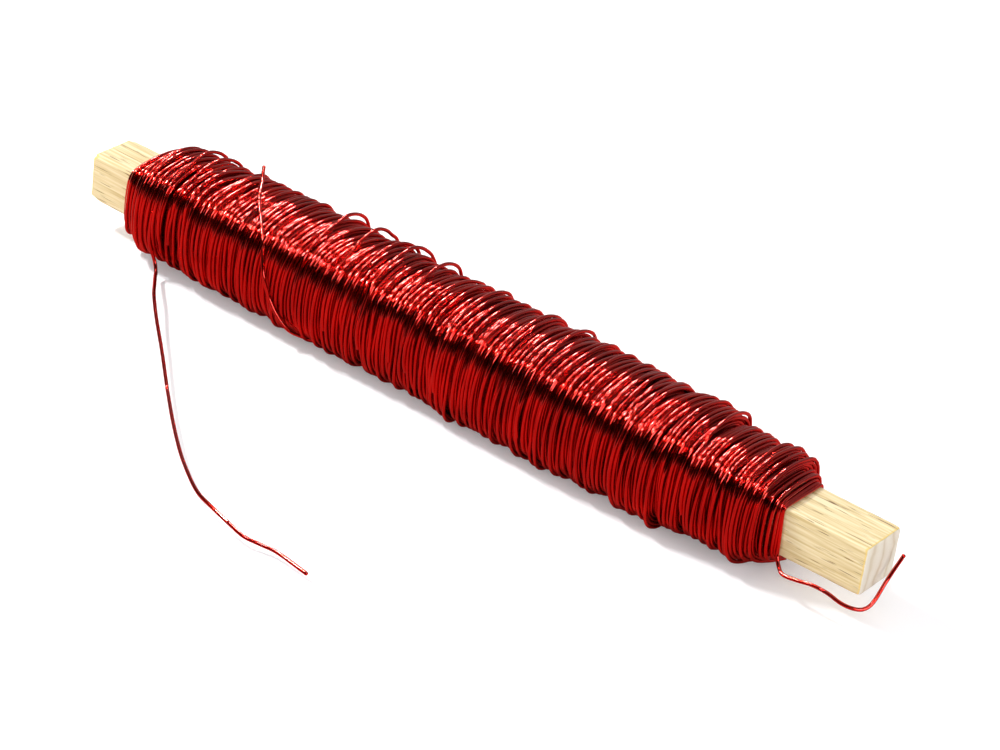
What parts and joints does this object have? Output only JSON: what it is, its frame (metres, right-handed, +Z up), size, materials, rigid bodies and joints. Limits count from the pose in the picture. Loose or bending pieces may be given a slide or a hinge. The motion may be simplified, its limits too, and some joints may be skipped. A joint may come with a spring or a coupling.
{
  "type": "wire spool",
  "caption": "Soft enamelled binding wire wound in layers on a square wooden stick, with loose wire ends that bend.",
  "frame": {"origin": "centre of the stick's plain end face, where the longer running wire end starts nearest", "axes": "+X along the stick from the plain end face, +Z up off the table the spool lies on, -Y to the side the running end leaves"},
  "size_m": [0.1524, 0.0635, 0.0201],
  "materials": {
    "wood": "pale, sawn, unvarnished beech",
    "red_wire": "glossy transparent red enamel over metal wire"
  },
  "bodies": {
    "spool": {"core_stick": "wood", "first_turn": "red_wire", "winding_layer_1": "red_wire", "winding_layer_2": "red_wire", "winding_layer_3": "red_wire", "winding_layer_4": "red_wire", "winding_layer_5": "red_wire", "winding_layer_6": "red_wire", "winding_layer_7": "red_wire", "winding_layer_8": "red_wire", "raised_turns": "red_wire"},
    "running_neck": {"running_tail_neck": "red_wire"},
    "running_span": {"running_tail_span": "red_wire"},
    "running_middle": {"running_tail_middle": "red_wire"},
    "running_tip": {"running_tail_tip": "red_wire"},
    "start_end": {"start_tail": "red_wire"},
    "cut_end": {"cut_end": "red_wire"}
  },
  "joints": [
    {"name": "running_tail_swing", "type": "hinge", "parent": "spool", "child": "running_neck", "pos_m": [0.0194, -0.0093, -0.0074], "axis": [0, 0, 1], "range_deg": [-70, 22]},
    {"name": "running_tail_lift", "type": "hinge", "parent": "running_neck", "child": "running_span", "pos_m": [0.0215, -0.0118, -0.0069], "axis": [-0.7498, -0.6616, 0], "range_deg": [-12, 80]},
    {"name": "running_tail_kink", "type": "hinge", "parent": "running_span", "child": "running_middle", "pos_m": [0.0674, -0.0517, -0.0069], "axis": [0, 0, 1], "range_deg": [-45, 45]},
    {"name": "running_tail_bend", "type": "hinge", "parent": "running_middle", "child": "running_tip", "pos_m": [0.0813, -0.0537, -0.0079], "axis": [0, 0, 1], "range_deg": [-45, 45]},
    {"name": "start_tail_swing", "type": "hinge", "parent": "spool", "child": "start_end", "pos_m": [0.1386, -0.0064, -0.0074], "axis": [0, 0, 1], "range_deg": [-80, 5]},
    {"name": "cut_end_lift", "type": "hinge", "parent": "spool", "child": "cut_end", "pos_m": [0.0468, -0.0088, -0.00575], "axis": [1, 0, 0], "range_deg": [0, 70]}
  ]
}
